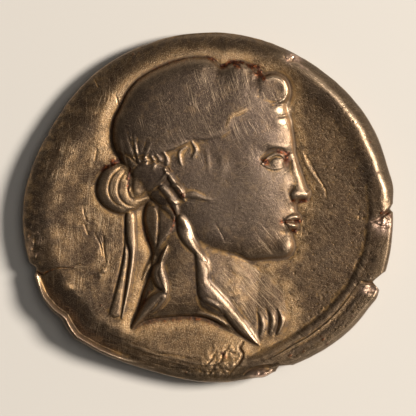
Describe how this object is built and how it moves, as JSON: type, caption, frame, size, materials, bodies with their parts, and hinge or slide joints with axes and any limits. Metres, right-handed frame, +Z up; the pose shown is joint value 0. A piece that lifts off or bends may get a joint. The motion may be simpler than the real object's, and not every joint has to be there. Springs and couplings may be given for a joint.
{
  "type": "denarius coin",
  "caption": "Small struck silver coin with a profile bust, worn relief, uneven hammered outline and cracked edge.",
  "frame": {"origin": "middle of the coin's width and height, on the plane that the worn high points of the reverse rest on", "axes": "+Z up out of the portrait side, +Y towards the top of the portrait, +X the way the portrait faces"},
  "size_m": [0.0186, 0.0175, 0.0022],
  "materials": {
    "silver": "satin"
  },
  "bodies": {
    "root": {"coin": "silver"}
  },
  "joints": []
}
